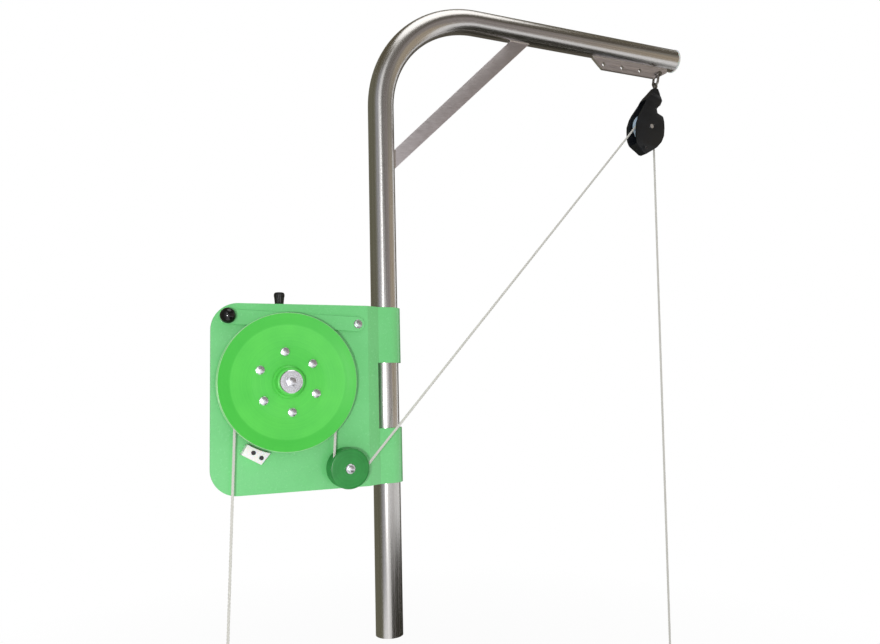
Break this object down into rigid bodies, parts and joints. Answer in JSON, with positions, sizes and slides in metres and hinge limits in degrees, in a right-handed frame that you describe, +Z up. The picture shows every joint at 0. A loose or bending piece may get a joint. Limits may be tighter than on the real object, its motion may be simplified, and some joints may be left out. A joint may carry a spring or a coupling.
{
  "type": "davit line hauler",
  "caption": "Bent pipe davit with a hanging snatch block and a driven V-groove hauling wheel on a sheet plate, reeved with a cord over idler and block.",
  "frame": {"origin": "centre of the davit pipe's open foot", "axes": "+X along the davit arm, +Z up the pipe, -Y towards the side with the wheel"},
  "size_m": [1.2635, 0.185, 1.6932],
  "materials": {
    "polished_stainless": "polished stainless pipe, drawn lengthways",
    "satin_stainless": "satin stainless plate",
    "plate_paint": "glossy pale green paint",
    "wheel_paint": "glossy bright green paint",
    "idler_paint": "dark green over turned metal",
    "motor_paint": "satin dark grey paint",
    "valve_alloy": "milled aluminium",
    "bolt_steel": "stainless fasteners",
    "white_plastic": "machined white polyethylene",
    "cap_plastic": "milky polyethylene",
    "black_plastic": "black moulded plastic",
    "black_gloss": "black glossy plastic",
    "sheave_plastic": "pale blue-grey moulded plastic",
    "rope": "white braided cord"
  },
  "bodies": {
    "davit": {"davit_pipe": "polished_stainless", "arm_end_cap": "cap_plastic", "arm_brace": "satin_stainless", "hanger_plate": "satin_stainless", "mounting_plate": "plate_paint", "motor_flange": "motor_paint", "motor_body": "motor_paint", "motor_cover": "motor_paint", "flow_valve": "valve_alloy", "valve_bonnet": "bolt_steel", "valve_ports": "bolt_steel", "start_valve": "valve_alloy", "rope_stripper": "white_plastic", "idler_axle": "bolt_steel", "idler_nut": "bolt_steel", "block_front_cheek": "black_plastic", "block_rear_cheek": "black_plastic", "block_head": "black_plastic", "block_axle": "bolt_steel", "block_foot": "black_plastic", "block_eye": "bolt_steel", "shackle_bow": "bolt_steel", "shackle_pin": "bolt_steel", "hauling_rope": "rope", "tail_knot": "rope", "gear_eye": "rope"},
    "hauling_wheel": {"wheel_front_disc": "wheel_paint", "wheel_rear_disc": "wheel_paint", "wheel_boss": "wheel_paint", "wheel_backing": "wheel_paint", "wheel_bolts": "bolt_steel", "drive_shaft": "bolt_steel", "shaft_cap": "bolt_steel"},
    "idler": {"idler_roller": "idler_paint"},
    "sheave": {"block_sheave": "sheave_plastic"},
    "lever": {"lever_bar": "plate_paint", "lever_knob": "black_gloss", "lever_shaft": "bolt_steel"},
    "flow_control": {"flow_knob": "black_gloss", "knob_spindle": "bolt_steel"}
  },
  "joints": [
    {"name": "wheel_spin", "type": "hinge", "parent": "davit", "child": "hauling_wheel", "pos_m": [-0.235, -0.0795, 0.556], "axis": [0, 1, 0], "continuous": true},
    {"name": "idler_spin", "type": "hinge", "parent": "davit", "child": "idler", "pos_m": [-0.112, -0.0795, 0.375], "axis": [0, 1, 0], "continuous": true},
    {"name": "sheave_spin", "type": "hinge", "parent": "davit", "child": "sheave", "pos_m": [0.7636, -0.00429, 1.23115], "axis": [-0.0856, 0.9963, 0], "continuous": true},
    {"name": "start_lever", "type": "hinge", "parent": "davit", "child": "lever", "pos_m": [-0.08, -0.058, 0.678], "axis": [0, 1, 0], "range_deg": [-4, 24]},
    {"name": "flow_turn", "type": "hinge", "parent": "davit", "child": "flow_control", "pos_m": [-0.239, -0.0062, 0.73], "axis": [0, 0, 1], "range_deg": [-150, 150]}
  ]
}
